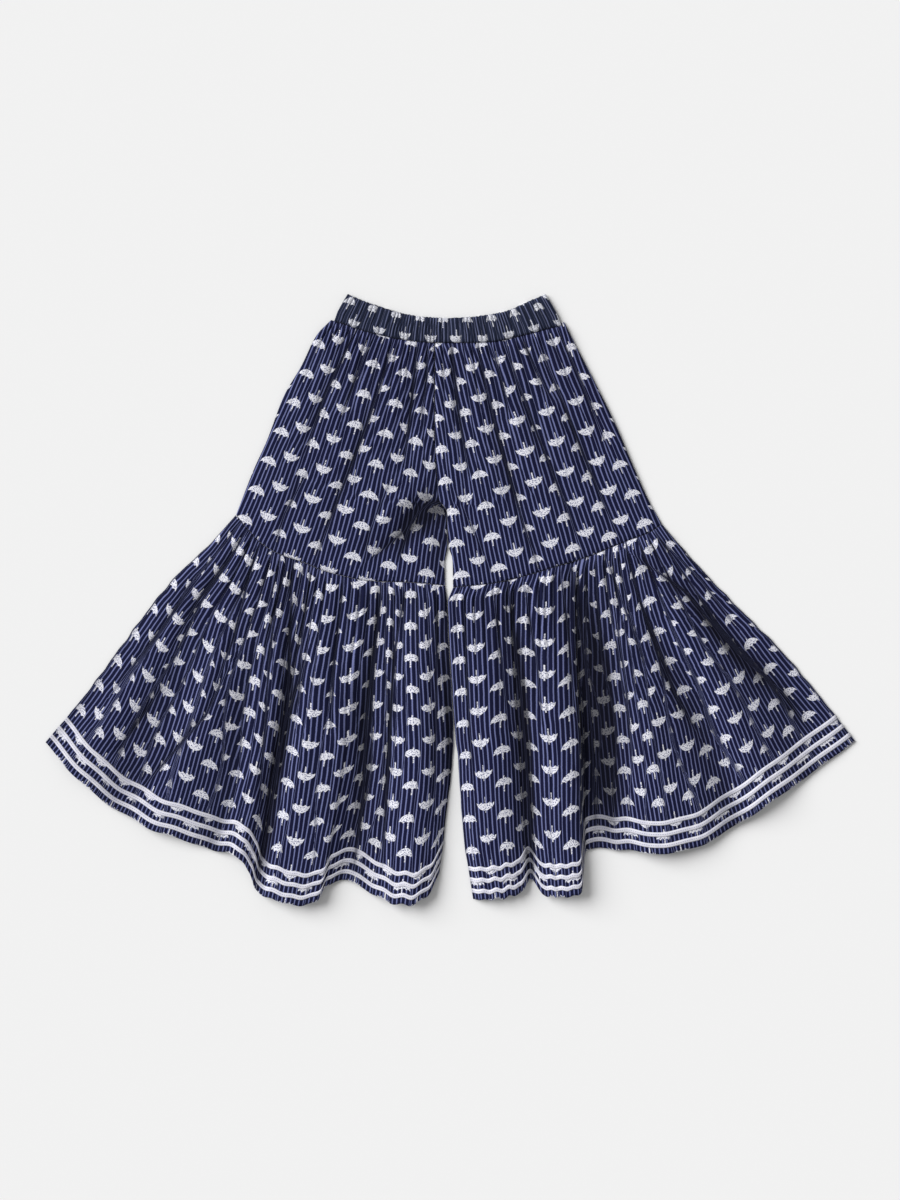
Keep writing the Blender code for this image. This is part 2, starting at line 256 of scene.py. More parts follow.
def plan(across, down, top, foot, left, right, foot_shares=None):
    left_ends = [top[0], *left, foot[0]]
    right_ends = [top[-1], *right, foot[-1]]
    length = np.linalg.norm(seam(foot, across, foot_shares) - seam(top, across), axis=-1)
    width = np.linalg.norm(seam(right_ends, down) - seam(left_ends, down), axis=-1)
    s, t = np.meshgrid(across, down)
    s = s + (0.5 - s) * 2 * SEAM_EASE / width[:, None]
    t = t + (0.5 - t) * 2 * SEAM_EASE / length[None, :]
    s3, t3 = s[..., None], t[..., None]
    upper, lower = seam(top, s), seam(foot, s, foot_shares)
    near, far = seam(left_ends, t), seam(right_ends, t)
    corners = (
        (1 - s3) * (1 - t3) * np.array(top[0], float)
        + s3 * (1 - t3) * np.array(top[-1], float)
        + (1 - s3) * t3 * np.array(foot[0][:2], float)
        + s3 * t3 * np.array(foot[-1][:2], float)
    )
    return (1 - t3) * upper + t3 * lower + (1 - s3) * near + s3 * far - corners


def swell(t, start, end):
    u = np.clip((t - start) / (end - start), 0.0, 1.0)
    return u * u * (3 - 2 * u)


print("seams ready")

# %% [markdown]
# ## How high the cloth stands
#
# The flounces rise from the knee seam in small tight gathers, which run together into a few big
# rolls at the hem. The upper panels hang from a ruched waist, so they are rippled under the band
# and slacken towards the knee. A gather is not a sine wave: it is round on top and pinched to a
# line at its foot. So the heights come from the absolute value of a sine, with a counter that
# wanders, which makes some gathers wide and some narrow.

# %% Heights
FRONT_OUTER = 2.7
LOWEST_OUTER = 1.75
SHEET = 0.7
WAIST_LIFT = 1.5
KNEE_LIFT = 2.6
KNEE_GATHERS = 24
WAIST_RIPPLES = 15
RUCHES = 48
WANDER = 0.7


def drifted(s, t, seed):
    """Gathers don't keep to the grain: their lines drift to one side and back on the way down."""
    sway = np.sin(2 * pi * (1.1 * t + 2.7 * s) + seed) + 0.5 * np.sin(2 * pi * (2.3 * t - 3.9 * s))
    return s + 0.011 * sway * swell(t, 0.0, 0.5) * np.sin(pi * s) ** 0.5


def gather_line(s, count, wander):
    lean = 0.5 * np.sin(2 * pi * 2.6 * s + 0.7) + 0.3 * np.sin(2 * pi * 6.1 * s + 2.0)
    return count * s + wander * lean * np.sin(pi * np.clip(s, 0, 1)) ** 0.5


def unlike(cell, seed):
    """A number from 0 to 1 for each gather, so that neighbours differ."""
    return 0.5 + 0.5 * np.sin(12.9898 * cell + seed * 4.137) * np.cos(4.3 * cell + seed)


def gathers(s, count, wander, seed, sharp=0.75):
    line = gather_line(s, count, wander)
    crest = np.abs(np.sin(pi * line)) ** sharp
    return crest * (0.55 + 0.45 * unlike(np.floor(line), seed))


def knee_profile(s):
    return KNEE_LIFT * np.sin(pi * s) ** 0.6


def off_the_back(height):
    """Keeps the front layer clear of the back one, softly."""
    low = height - LOWEST_OUTER
    return LOWEST_OUTER + 0.5 * (low + np.sqrt(low * low + 0.15))


def flounce_height(s, t, folds, seed):
    grown = swell(t, 0.0, 0.62)
    drift = drifted(s, t, seed)
    rolls = smooth([fold.share for fold in folds], [fold.lift for fold in folds], s) * grown
    onset = swell(t, 0.0, 0.05) * np.exp(-np.maximum(t - 0.05, 0) / 0.26)
    tight = 3.8 * gathers(drift, KNEE_GATHERS, WANDER, seed) * onset
    finer = 1.2 * gathers(drift, 41, 0.40, seed + 3) * onset * (1 - swell(t, 0.1, 0.5))
    long_ones = 1.3 * gathers(drift, 13, 0.50, seed + 7, 1.2) * swell(t, 0.1, 0.4)
    return rolls + knee_profile(s) * (1 - grown) + tight + finer + long_ones * np.sin(pi * s) ** 0.4


def leg_height(s, t, seed):
    body = 1.2 + 3.2 * np.sin(pi * s) ** 0.7
    height = WAIST_LIFT + (body - WAIST_LIFT) * swell(t, 0.0, 0.35)
    height = height + (knee_profile(s) - height) * swell(t, 0.75, 1.0)
    onset = swell(t, 0.0, 0.04) * np.exp(-np.maximum(t - 0.04, 0) / 0.22)
    drift = drifted(s, t, seed)
    ripples = 2.6 * gathers(drift, WAIST_RIPPLES, 0.45, seed)
    ripples = ripples + 0.9 * gathers(drift, 33, 0.6, seed + 2)
    return height + ripples * onset - 1.5 * np.exp(-((t / 0.012) ** 2))


print("heights ready")

# %% [markdown]
# ## Creases placed one by one
#
# On top of the gathers go the creases that the photo shows, each a soft trough or ridge along a
# line of its own, in millimetres on the surface. They differ in length, width and depth, and each
# fades out at both ends. A negative height is a trough, and a trough gets painted shade by its
# depth. The first four rows of the left leg are the dark tuck that the cloth makes at the crotch.

# %% Creases
Crease = namedtuple("Crease", "width height hides path")

LEFT_LEG_CREASES = [
    Crease(6.5, -7.0, 6, (
        (6, 97), (-8, 101), (-20, 101), (-30, 94), (-39, 84), (-46, 64), (-52, 46),
    )),
    Crease(14.0, -9.0, 0, ((6, 92), (-12, 93), (-24, 84), (-30, 66))),
    Crease(8.0, -5.0, 0, ((-4, 92), (-8, 60), (-9, 34), (-9, 16))),
    Crease(10.0, -4.0, 3, ((-32, 88), (-58, 62), (-84, 42))),
    Crease(9.0, 2.6, 0, ((-22, 122), (-56, 98), (-96, 64))),
    Crease(8.0, -2.4, 8, ((-58, 270), (-84, 190), (-122, 90), (-140, 42))),
    Crease(6.0, 1.2, 0, ((-66, 255), (-98, 170), (-118, 116))),
    Crease(6.0, -2.4, 8, ((-34, 268), (-40, 205), (-48, 140))),
    Crease(6.0, -2.1, 7, ((-98, 282), (-130, 214), (-152, 150))),
    Crease(9.0, 1.2, 0, ((-120, 262), (-152, 190), (-180, 110))),
    Crease(5.0, -1.4, 5, ((-150, 130), (-172, 90), (-182, 58))),
    Crease(5.0, -1.3, 4, ((-62, 124), (-84, 70), (-90, 34))),
    Crease(4.0, -1.8, 6, ((-80, 276), (-96, 236), (-112, 190))),
    Crease(4.0, -1.6, 6, ((-22, 266), (-24, 232), (-30, 190))),
]
RIGHT_LEG_CREASES = [
    Crease(6.0, -2.4, 8, ((2, 266), (8, 200), (20, 130))),
    Crease(9.0, -2.4, 8, ((28, 266), (50, 170), (76, 80), (92, 34))),
    Crease(6.0, 1.3, 0, ((18, 250), (34, 180), (52, 110))),
    Crease(8.0, -2.2, 8, ((56, 268), (88, 180), (124, 90), (136, 52))),
    Crease(6.0, 1.1, 0, ((46, 250), (74, 175), (92, 120))),
    Crease(7.0, -2.2, 7, ((88, 276), (120, 200), (156, 110), (176, 64))),
    Crease(6.0, 1.0, 0, ((76, 262), (106, 190), (132, 130))),
    Crease(6.0, -1.8, 6, ((112, 282), (142, 214), (164, 158))),
    Crease(6.0, -1.4, 3, ((2, 120), (26, 70), (44, 26))),
    Crease(5.0, 0.9, 0, ((-4, 160), (8, 100), (20, 50))),
    Crease(4.0, -1.8, 6, ((42, 268), (54, 226), (64, 190))),
    Crease(4.0, -1.6, 6, ((74, 274), (92, 236), (106, 206))),
]
LEFT_FLOUNCE_CREASES = [
    Crease(9.0, -4.6, 10, ((-164, 44), (-166, -20), (-169, -107), (-181, -182), (-200, -290))),
    Crease(5.0, -2.4, 8, ((-176, 40), (-188, -60), (-192, -130), (-198, -210))),
    Crease(9.0, -4.4, 10, ((-70, 18), (-80, -60), (-87, -120), (-90, -200), (-100, -280))),
    Crease(5.0, -2.8, 8, ((-46, 14), (-58, -56), (-64, -160), (-70, -276))),
    Crease(5.0, -2.2, 6, ((-14, 5), (-14, -100), (-16, -230))),
    Crease(8.0, -7.0, 0, ((-5, 12), (-4, -35), (-1, -90), (2, -130), (2, -190))),
    Crease(6.0, -2.2, 8, ((-204, 44), (-225, -40), (-244, -90))),
    Crease(6.0, -2.4, 8, ((-260, 24), (-300, -30), (-353, -99))),
    Crease(5.0, -1.9, 6, ((-300, -90), (-327, -130), (-348, -161))),
    Crease(6.0, -2.2, 8, ((-230, -70), (-254, -120), (-317, -192))),
    Crease(6.0, -2.1, 6, ((-150, -60), (-169, -120), (-197, -234))),
    Crease(8.0, 1.4, 0, ((-130, 20), (-146, -120), (-160, -240))),
    Crease(8.0, 1.4, 0, ((-34, 10), (-40, -130), (-44, -260))),
    Crease(5.0, -1.6, 6, ((-112, 14), (-120, -60), (-124, -140))),
    Crease(7.0, 1.0, 0, ((-222, -60), (-262, -170))),
    Crease(5.0, -1.5, 6, ((-145, 26), (-154, -40), (-158, -110))),
    Crease(5.0, -1.6, 6, ((-216, 62), (-262, 0), (-290, -50))),
]
RIGHT_FLOUNCE_CREASES = [
    Crease(9.0, -8.0, 10, ((60, 18), (74, -100), (82, -200), (86, -285))),
    Crease(8.0, -4.4, 8, ((126, 42), (140, -60), (148, -140), (152, -230))),
    Crease(19.0, -9.5, 0, ((138, 20), (154, -70), (160, -150), (166, -240))),
    Crease(6.0, -2.4, 8, ((190, 20), (214, -42), (234, -98), (255, -135))),
    Crease(11.0, -5.0, 9, ((195, 44), (244, 10), (295, -50), (346, -96), (370, -130))),
    Crease(8.0, 1.4, 0, ((30, 10), (40, -120), (52, -250))),
    Crease(8.0, 1.4, 0, ((96, 30), (108, -110), (113, -250))),
    Crease(4.0, -1.6, 5, ((14, 8), (18, -90), (24, -190))),
    Crease(5.0, -1.5, 6, ((44, 14), (54, -60), (60, -130))),
    Crease(5.0, -1.4, 6, ((114, 38), (124, -40), (130, -120))),
    Crease(13.0, 2.2, 0, ((176, -20), (206, -140), (222, -230))),
    Crease(15.0, 2.4, 0, ((196, 20), (246, -60), (300, -150))),
    Crease(6.0, -1.4, 6, ((170, 0), (182, -80), (190, -170))),
    Crease(6.0, 1.0, 0, ((262, -60), (310, -140))),
    Crease(5.0, -1.6, 6, ((212, 70), (262, 20), (300, -30))),
    Crease(5.0, -1.6, 6, ((160, 50), (190, -30), (206, -80))),
    Crease(5.0, -1.5, 6, ((76, 22), (90, -60), (96, -130))),
]
CALM = 55.0


def from_line(flat, path):
    """Distance from a path, positive on its right as it runs down, and the share of its length."""
    path = np.array(path, float)
    legs = np.linalg.norm(np.diff(path, axis=0), axis=1)
    before = np.concatenate([[0.0], np.cumsum(legs)])
    best = np.full(flat.shape[:2], np.inf)
    along = np.zeros(flat.shape[:2])
    side = np.ones(flat.shape[:2])
    for index, leg in enumerate(legs):
        way = (path[index + 1] - path[index]) / leg
        offset = flat - path[index]
        part = np.clip(offset @ way, 0, leg)
        gap = np.linalg.norm(offset - part[..., None] * way, axis=-1)
        turn = way[0] * offset[..., 1] - way[1] * offset[..., 0]
        closer = gap < best
        best = np.where(closer, gap, best)
        along = np.where(closer, (before[index] + part) / before[-1], along)
        side = np.where(closer, np.where(turn < 0, -1.0, 1.0), side)
    return best * side, along


def creased(height, flat, creases):
    """Height with creases, the cloth they hide, their pinch lines, and painted trough shade."""
    hidden, pinch, painted_shade = np.zeros((3, *height.shape))
    for crease in creases:
        gap, along = from_line(flat, crease.path)
        off = np.abs(gap)
        fade = np.sin(pi * np.clip(0.03 + 0.94 * along, 0, 1)) ** 0.6
        profile = np.exp(0.22 - np.sqrt((gap / crease.width) ** 2 * 1.6 + 0.05))
        height = height + crease.height * profile * fade * np.clip(2 - off / crease.width / 2, 0, 1)
        pull = 0.5 * np.tanh(gap / 0.7) * np.clip(1 - off / CALM, 0, 1)
        hidden = hidden + crease.hides * fade * pull
        pinch = np.maximum(pinch, np.exp(-((off / 1.3) ** 2)) * fade * crease.hides / 10)
        # Painted shade along each trough, darker where the trough is deeper.
        painted_shade = painted_shade + max(-crease.height, 0) * 0.09 * profile * fade
    return height, hidden, pinch, painted_shade


tables = (LEFT_LEG_CREASES, RIGHT_LEG_CREASES, LEFT_FLOUNCE_CREASES, RIGHT_FLOUNCE_CREASES)
print(sum(len(table) for table in tables), "creases placed by hand")

# %% [markdown]
# ## The cloth hidden in the gathers
#
# A gathered flounce holds far more cloth than its seam is long. What is left over turns under
# between one gather and the next, so a printed motif is cut off at the edge of a gather, and the
# stripes keep their spacing on top of it. The print needs cloth coordinates that do the same.
# Each gather shows its own stretch of cloth at true size, and what it hides is pressed into the
# narrow line beside it. The line is also stored as an attribute, so that the material can paint
# shade there, like the shade down in a fold.

# %% Cloth coordinates
HIDDEN_LINE = 0.04


def true_steps(points):
    """How far apart the columns are, measured square to them, row by row."""
    along = np.diff(points, axis=1)
    down = np.gradient(points, axis=0)
    down = 0.5 * (down[:, 1:] + down[:, :-1])
    down /= np.linalg.norm(down, axis=-1, keepdims=True)
    return np.linalg.norm(np.cross(along, down), axis=-1)


def summed(steps):
    return np.concatenate([np.zeros((len(steps), 1)), np.cumsum(steps, axis=1)], axis=1)


def sawtooth(place):
    rest = place - np.floor(place)
    climb = (0.5 - HIDDEN_LINE) / HIDDEN_LINE
    after = np.where(rest < HIDDEN_LINE, rest * climb, 0.5 - rest)
    return np.where(rest > 1 - HIDDEN_LINE, (rest - 1) * climb, after)


def hide_cloth(base, steps, line):
    """Cloth coordinate across a piece, each gather's surplus pressed into its edges."""
    line = np.broadcast_to(line, base.shape)
    every_cell = np.floor(line).astype(int)
    every_cell = every_cell - every_cell.min()
    count = every_cell.max() + 1
    shown = summed(steps)
    rest = line - np.floor(line)
    edge = np.maximum(0, 1 - np.minimum(rest, 1 - rest) / (2.2 * HIDDEN_LINE))
    cloth, dark = np.zeros_like(base), np.zeros_like(base)
    for row, cells in enumerate(every_cell):
        ends = np.array([[np.inf, -np.inf, np.inf, -np.inf]]).repeat(count, axis=0)
        np.minimum.at(ends[:, 0], cells, base[row])
        np.maximum.at(ends[:, 1], cells, base[row])
        np.minimum.at(ends[:, 2], cells, shown[row])
        np.maximum.at(ends[:, 3], cells, shown[row])
        held = np.maximum(ends[:, 1] - ends[:, 0], 1e-6)
        seen = np.maximum(ends[:, 3] - ends[:, 2], 1e-6)
        surplus = np.clip(1 - seen / held, 0.0, 0.85)
        cloth[row] = base[row] + (surplus * held)[cells] * sawtooth(line[row])
        # dark marks the line where the surplus lies: the material hides the motif there and paints
        # shade over it.
        dark[row] = np.clip(1.6 * surplus[cells], 0, 1) * edge[row]
    return cloth, dark


def hollow(height, reach):
    """How far each point lies below its neighbours to the left and right, in millimetres."""
    span = np.arange(-3 * reach, 3 * reach + 1)
    weights = np.exp(-((span / reach) ** 2))
    weights /= weights.sum()
    padded = np.pad(height, ((0, 0), (3 * reach, 3 * reach)), mode="edge")
    around = np.stack([np.convolve(row, weights, mode="valid") for row in padded])
    return np.maximum(around - height, 0)


# Painted shade for the valleys, from how far each point lies below its neighbours at two widths.
def shade_of(height, fine, broad):
    return 0.16 * hollow(height, fine) + 0.10 * hollow(height, broad)


def from_hem(points):
    """Distance of each point from the hem, along its column."""
    steps = np.linalg.norm(np.diff(points, axis=0), axis=-1)
    back = np.cumsum(steps[::-1], axis=0)[::-1]
    return np.concatenate([back, np.zeros((1, points.shape[1]))])


print("cloth coordinates ready")

# %% [markdown]
# ## Laying a wall of cloth
#
# Each wall starts as a grid primitive, whose vertices are laid on the outer face of the cloth.
# Solidify, applied, gives it its thickness downwards and a second material for its wrong side.
# A UV map holds the cloth coordinates in metres.

# %% Lay a wall
WHOLE_MM = 1 / MM


def lay(flat, height):
    return np.concatenate([flat, height[..., None]], axis=-1)


def new_grid(name, rows, columns):
    bpy.ops.object.select_all(action="DESELECT")
    bpy.ops.mesh.primitive_grid_add(x_subdivisions=columns, y_subdivisions=rows, size=1)
    piece = bpy.context.object
    piece.name = name
    piece.data.name = name
    return piece


def lay_wall(name, points, cloth, marks, looks, thickness=SHEET, upward=False):
    """Points, cloth coordinates, and the marks pinch and hollow, all as [row, column] tables."""
    rows, columns = points.shape[0] - 1, points.shape[1] - 1
    piece = new_grid(name, rows, columns)
    mesh = piece.data
    place = np.empty(len(mesh.vertices) * 3)
    mesh.vertices.foreach_get("co", place)
    place = place.reshape(-1, 3)
    column = np.rint((place[:, 0] + 0.5) * columns).astype(int)
    row = np.rint((0.5 - place[:, 1]) * rows).astype(int)
    mesh.vertices.foreach_set("co", (points[row, column] * MM).ravel())
    # The marks become attributes: pinch hides the motif and paints shade, hollow paints shade.
    for label, table in marks.items():
        mark = mesh.attributes.new(label, "FLOAT", "POINT")
        mark.data.foreach_set("value", table[row, column].astype(np.float32))
    corners = np.empty(len(mesh.loops), int)
    mesh.loops.foreach_get("vertex_index", corners)
    mesh.uv_layers[0].data.foreach_set("uv", (cloth[row, column][corners] * MM).ravel())
    mesh.update()
    for look in looks:
        mesh.materials.append(look)
    wall = piece.modifiers.new("Thickness", "SOLIDIFY")
    wall.thickness = thickness * MM
    wall.offset = 1.0 if upward else -1.0
    wall.material_offset = len(looks) - 1
    bpy.ops.object.modifier_apply(modifier=wall.name)
    mesh.shade_smooth()
    print(name, 2 * len(mesh.polygons), "triangles")
    return piece


def settle(piece, node):
    """A piece takes its node's place on the one body, and the node's CAD part is hidden."""
    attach(piece, "root")
    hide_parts(node)


def surface_area(points):
    """Square metres of one face of a wall."""
    across = np.diff(points, axis=1)[:-1]
    down = np.diff(points, axis=0)[:, :-1]
    return float(np.linalg.norm(np.cross(across, down), axis=-1).sum()) * MM * MM


print("walls ready")

# %% [markdown]
# ## The printed cotton
#
# The cloth is a navy cotton with fine periwinkle pinstripes and columns of small umbrellas,
# upright in one and upside down in the next. A picture would fix the print to one picture's size.
# Here it is worked out from the cloth coordinates instead: a stripe is what lies near a whole
# number of pitches, and an umbrella is half an ellipse with a scalloped edge, a tip and a handle.

# %% Node helpers
def calc(tree, operation, *values, clamp=False):
    node = tree.nodes.new("ShaderNodeMath")
    node.operation = operation
    node.use_clamp = clamp
    for socket, value in zip(node.inputs, values):
        if isinstance(value, (int, float)):
            socket.default_value = value
        else:
            tree.links.new(value, socket)
    return node.outputs[0]


def soft_step(tree, value, start, end):
    node = tree.nodes.new("ShaderNodeMapRange")
    node.interpolation_type = "SMOOTHSTEP"
    node.inputs["From Min"].default_value = start
    node.inputs["From Max"].default_value = end
    tree.links.new(value, node.inputs["Value"])
    return node.outputs["Result"]


def noise(tree, vector, scale, detail=2.0, rough=0.5):
    node = tree.nodes.new("ShaderNodeTexNoise")
    node.inputs["Scale"].default_value = scale
    node.inputs["Detail"].default_value = detail
    node.inputs["Roughness"].default_value = rough
    tree.links.new(vector, node.inputs["Vector"])
    return node.outputs["Fac"]


def blended(tree, share, first, second):
    node = tree.nodes.new("ShaderNodeMix")
    node.data_type = "RGBA"
    tree.links.new(share, node.inputs["Factor"])
    for socket, value in ((node.inputs[6], first), (node.inputs[7], second)):
        if isinstance(value, tuple):
            socket.default_value = (*value, 1.0)
        else:
            tree.links.new(value, socket)
    return node.outputs[2]


def srgb(*levels):
    """Linear colour from the 0 to 255 levels that the eye compares."""
    parts = [level / 255 for level in levels]
    return tuple(
        part / 12.92 if part <= 0.04045 else ((part + 0.055) / 1.055) ** 2.4 for part in parts
    )


print("mid grey", round(srgb(128)[0], 3))

# %% The print as a node group
STRIPE_PITCH = 4.5
STRIPE_HALF = 0.58
COLUMN_PITCH = 20.0
ROW_PITCH = 33.0
CANOPY_HALF = 8.9
CANOPY_HIGH = 8.7
SCALLOP = 4.575
HANDLE = 5.5


def umbrella_print():
    group = bpy.data.node_groups.new("umbrella_print", "ShaderNodeTree")
    group.interface.new_socket("Cloth", in_out="INPUT", socket_type="NodeSocketVector")
    for name in ("Stripe", "Umbrella", "Speckle"):
        group.interface.new_socket(name, in_out="OUTPUT", socket_type="NodeSocketFloat")
    source = group.nodes.new("NodeGroupInput").outputs["Cloth"]
    result = group.nodes.new("NodeGroupOutput")
    split = group.nodes.new("ShaderNodeSeparateXYZ")
    group.links.new(source, split.inputs[0])

    def math(operation, *values):
        return calc(group, operation, *values)

    wobble = math("SUBTRACT", noise(group, source, 60.0), 0.5)
    u = math("MULTIPLY", split.outputs["X"], WHOLE_MM)
    u = math("ADD", u, math("MULTIPLY", wobble, 0.7))
    v = math("MULTIPLY", split.outputs["Y"], WHOLE_MM)

    beside = math("PINGPONG", u, STRIPE_PITCH / 2)
    worn = math("MULTIPLY", noise(group, source, 900.0, 1.0), 0.55)
    reach = math("SUBTRACT", math("ADD", beside, worn), STRIPE_HALF + 0.27)
    stripe = math("SUBTRACT", 1.0, soft_step(group, reach, -0.30, 0.30))

    column = math("FLOOR", math("DIVIDE", u, COLUMN_PITCH))
    odd = math("FLOORED_MODULO", column, 2.0)
    middle = math("MULTIPLY", math("ADD", column, 0.5), COLUMN_PITCH)
    x = math("SUBTRACT", u, middle)
    rows = math("ADD", math("DIVIDE", v, ROW_PITCH), math("MULTIPLY", odd, 0.5))
    y = math("MULTIPLY", math("SUBTRACT", math("FRACT", rows), 0.5), ROW_PITCH)
    way = math("SUBTRACT", 1.0, math("MULTIPLY", odd, 2.0))
    y = math("ADD", math("MULTIPLY", y, way), 2.0)

    wide = math("POWER", math("ABSOLUTE", math("DIVIDE", x, CANOPY_HALF)), 2.0)
    high = math("POWER", math("ABSOLUTE", math("DIVIDE", y, CANOPY_HIGH)), 2.0)
    dome = math("SUBTRACT", 1.0, math("SQRT", math("ADD", wide, high)))
    dome = math("MULTIPLY", dome, CANOPY_HIGH)
    wave = math("SINE", math("MULTIPLY", x, pi / SCALLOP))
    edge = math("MULTIPLY", math("ABSOLUTE", wave), 1.6)
    canopy = math("MINIMUM", dome, math("SUBTRACT", y, edge))
    aside = math("ABSOLUTE", x)
    stem = math("SUBTRACT", 0.55, aside)
    stem = math("MINIMUM", stem, math("ADD", y, HANDLE))
    stem = math("MINIMUM", stem, math("SUBTRACT", 11.0, y))
    shape = math("MAXIMUM", canopy, stem)
    umbrella = soft_step(group, shape, -0.22, 0.22)
    speckle = soft_step(group, noise(group, source, 820.0, 1.0), 0.36, 0.52)

    for name, value in (("Stripe", stripe), ("Umbrella", umbrella), ("Speckle", speckle)):
        group.links.new(value, result.inputs[name])
    return group


printed = umbrella_print()
print("print made of", len(printed.nodes), "nodes")

# %% [markdown]
# ## Cloth finishes
#
# One function mixes the print's masks into colours, paints shade into the bottom of each fold,
# and gives the cotton a fine weave and the small puckers of washed cloth. Its wrong side shows the
# same print, paler and lower in contrast, because the dye doesn't go right through. The casing is
# the same cotton a little greyer, as it is where it is stretched and gathered over elastic.

# %% Cotton
def cotton(name, ground, line, motif, grey, painted_shade_strength, weave):
    look = bpy.data.materials.new(name)
    look.use_nodes = True
    tree = look.node_tree
    shader = tree.nodes["Principled BSDF"]
    cloth = tree.nodes.new("ShaderNodeUVMap").outputs["UV"]
    place = tree.nodes.new("ShaderNodeTexCoord").outputs["Object"]
    ink = tree.nodes.new("ShaderNodeGroup")
    ink.node_tree = printed
    tree.links.new(cloth, ink.inputs["Cloth"])

    pinch = tree.nodes.new("ShaderNodeAttribute")
    pinch.attribute_name = "pinch"
    painted_shade = tree.nodes.new("ShaderNodeAttribute")
    painted_shade.attribute_name = "hollow"
    open_cloth = calc(tree, "SUBTRACT", 1.0, calc(tree, "MULTIPLY", pinch.outputs["Fac"], 2.2))
    open_cloth = calc(tree, "MAXIMUM", open_cloth, 0.0)
    shown = calc(tree, "MULTIPLY", ink.outputs["Umbrella"], open_cloth)
    dyed = blended(tree, ink.outputs["Stripe"], ground, line)
    spotted = blended(tree, ink.outputs["Speckle"], grey, motif)
    colour = blended(tree, shown, dyed, spotted)

    # Painted shade: the pinch and hollow attributes darken the colour towards a near-black navy,
    # and random noise makes the tone uneven.
    shade = calc(tree, "MULTIPLY", pinch.outputs["Fac"], 0.60)
    shade = calc(tree, "ADD", shade, painted_shade.outputs["Fac"])
    shade = calc(tree, "MULTIPLY", shade, painted_shade_strength, clamp=True)
    uneven = calc(tree, "MULTIPLY", noise(tree, place, 26.0, 3.0), 0.30)
    shade = calc(tree, "ADD", shade, calc(tree, "SUBTRACT", uneven, 0.15), clamp=True)
    shade = calc(tree, "MINIMUM", shade, 0.85)
    colour = blended(tree, shade, colour, tuple(0.12 * part for part in ground))
    tree.links.new(colour, shader.inputs["Base Color"])

    threads = tree.nodes.new("ShaderNodeTexChecker")
    threads.inputs["Scale"].default_value = 2600.0
    tree.links.new(cloth, threads.inputs["Vector"])
    pucker = tree.nodes.new("ShaderNodeMapping")
    pucker.inputs["Scale"].default_value = (1.0, 0.32, 1.0)
    tree.links.new(cloth, pucker.inputs["Vector"])
    small = tree.nodes.new("ShaderNodeBump")
    small.inputs["Strength"].default_value = 0.45
    small.inputs["Distance"].default_value = 0.0006
    tree.links.new(noise(tree, pucker.outputs[0], 140.0, 3.0, 0.55), small.inputs["Height"])
    fine = tree.nodes.new("ShaderNodeBump")
    fine.inputs["Strength"].default_value = weave
    fine.inputs["Distance"].default_value = 0.00005
    tree.links.new(threads.outputs["Fac"], fine.inputs["Height"])
    tree.links.new(small.outputs["Normal"], fine.inputs["Normal"])
    tree.links.new(fine.outputs["Normal"], shader.inputs["Normal"])
    shader.inputs["Roughness"].default_value = 0.93
    shader.inputs["Specular IOR Level"].default_value = 0.12
    shader.inputs["Sheen Weight"].default_value = 0.04
    shader.inputs["Sheen Roughness"].default_value = 0.5
    return look


NAVY = srgb(15, 18, 48)
PERIWINKLE = srgb(108, 114, 158)
WHITE_INK = srgb(228, 228, 236)
GREY_INK = srgb(92, 96, 130)
right_side = cotton("navy_print", NAVY, PERIWINKLE, WHITE_INK, GREY_INK, 1.0, 0.25)
wrong_side = cotton(
    "navy_print_wrong_side", srgb(40, 42, 70), srgb(78, 81, 114), srgb(128, 129, 148),
    srgb(104, 106, 128), 1.0, 0.25,
)
casing_look = cotton(
    "casing", srgb(26, 32, 52), srgb(90, 95, 124), srgb(214, 215, 222), srgb(104, 108, 130),
    1.0, 0.25,
)
print("three finishes of one cotton")

# %% [markdown]
# ## The front flounces
#
# Each is a wide strip of cloth, cut as a sector and gathered into the knee seam. At the hem it
# opens out into rolls. The rows of the fold table carry both the outline of the hem and the
# height of each roll, so a roll that bulges towards the viewer also bulges at the edge.

# %% Front flounces
FLOUNCE_COLUMNS = 360
FLOUNCE_ROWS = 132
HEM_FULLNESS = 1.16
LEFT_STEP = 0.395
RIGHT_STEP = 0.585


def seam_dip(s, distance):
    return -1.5 * np.exp(-((distance / 3.0) ** 2)) * np.sin(pi * s) ** 0.4


def level_rows(run, step_share):
    """Evens out the rows of the print on each side of the step in the hem."""
    length = run[0]
    span = np.arange(-90, 91)
    weights = np.exp(-((span / 38) ** 2))
    step = round(step_share * (len(length) - 1))
    even = np.concatenate([
        np.convolve(np.pad(part, 90, mode="edge"), weights / weights.sum(), mode="valid")
        for part in (length[:step], length[step:])
    ])
    return run + (even - length) * swell(run / length, 0.02, 0.42)


def side_dip(s, width):
    """Pulls the front layer down to the back one along its side seams."""
    edge = np.minimum(s, 1 - s) * width
    return -0.9 * np.exp(-((edge / 3.5) ** 2))


def puckered(flat, s, t, seed):
    """Moves the edges in and out a little: the hem hangs unevenly, the side seam puckers."""
    ripple = np.sin(2 * pi * 9 * t + seed) + 0.7 * np.sin(2 * pi * 14.3 * t + 2 * seed)
    reach = np.exp(-np.minimum(s, 1 - s) / 0.02) * np.sin(pi * t)
    moved = flat.copy()
    moved[..., 0] += 0.55 * ripple * reach * np.where(np.abs(flat[..., 0]) > 90, 1.0, 0.3)
    sag = np.sin(2 * pi * (11 * s + 0.9 * np.sin(7 * s)) + seed) + 0.6 * np.sin(2 * pi * 17.7 * s)
    moved[..., 1] += 1.2 * sag * swell(t, 0.55, 1.0) * np.sin(pi * s) ** 0.4
    return moved


